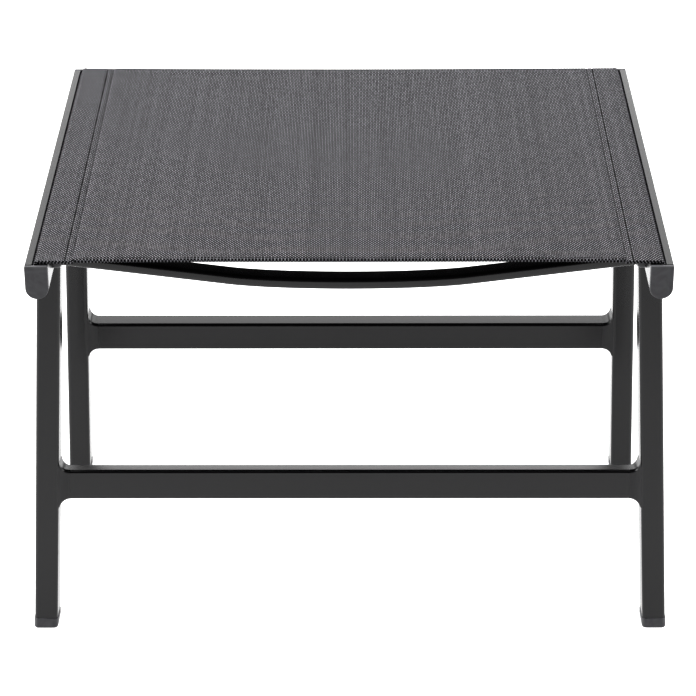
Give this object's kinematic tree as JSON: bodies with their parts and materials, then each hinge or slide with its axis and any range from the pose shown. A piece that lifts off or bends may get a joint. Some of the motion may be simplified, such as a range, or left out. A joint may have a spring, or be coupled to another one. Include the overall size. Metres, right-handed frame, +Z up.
{
  "type": "outdoor ottoman footstool",
  "caption": "Outdoor footstool: a dark woven sling between two aluminium side rails, on splayed legs with crossbars and plastic glides.",
  "frame": {"origin": "on the floor under the middle of the seat", "axes": "+X to the right along the seat's width, +Y to the rear, +Z up"},
  "size_m": [0.6204, 0.48, 0.4227],
  "materials": {
    "frame_coat": "semi-gloss anthracite powder coat on aluminium tube",
    "fitting_coat": "the same powder coat on cast aluminium",
    "moulded_plastic": "moulded anthracite plastic, fine matt grain",
    "sling_fabric": "PVC-coated polyester mesh in a dark grey melange weave",
    "rod_plastic": "black extruded plastic rod",
    "bolt_steel": "zinc-plated steel, dulled"
  },
  "bodies": {
    "root": {"left_rail": "frame_coat", "right_rail": "frame_coat", "front_left_rail_cap": "moulded_plastic", "front_right_rail_cap": "moulded_plastic", "rear_left_rail_cap": "moulded_plastic", "rear_right_rail_cap": "moulded_plastic", "sling": "sling_fabric", "left_keder_rod": "rod_plastic", "right_keder_rod": "rod_plastic", "front_spreader_bar": "frame_coat", "front_left_spreader_plug": "moulded_plastic", "front_left_spreader_bolt": "bolt_steel", "front_right_spreader_plug": "moulded_plastic", "front_right_spreader_bolt": "bolt_steel", "front_crossbar": "frame_coat", "front_left_leg": "frame_coat", "front_left_foot_glide": "moulded_plastic", "front_left_crossbar_fitting": "fitting_coat", "front_right_leg": "frame_coat", "front_right_foot_glide": "moulded_plastic", "front_right_crossbar_fitting": "fitting_coat", "rear_spreader_bar": "frame_coat", "rear_left_spreader_plug": "moulded_plastic", "rear_left_spreader_bolt": "bolt_steel", "rear_right_spreader_plug": "moulded_plastic", "rear_right_spreader_bolt": "bolt_steel", "rear_crossbar": "frame_coat", "rear_left_leg": "frame_coat", "rear_left_foot_glide": "moulded_plastic", "rear_left_crossbar_fitting": "fitting_coat", "rear_right_leg": "frame_coat", "rear_right_foot_glide": "moulded_plastic", "rear_right_crossbar_fitting": "fitting_coat"}
  },
  "joints": []
}
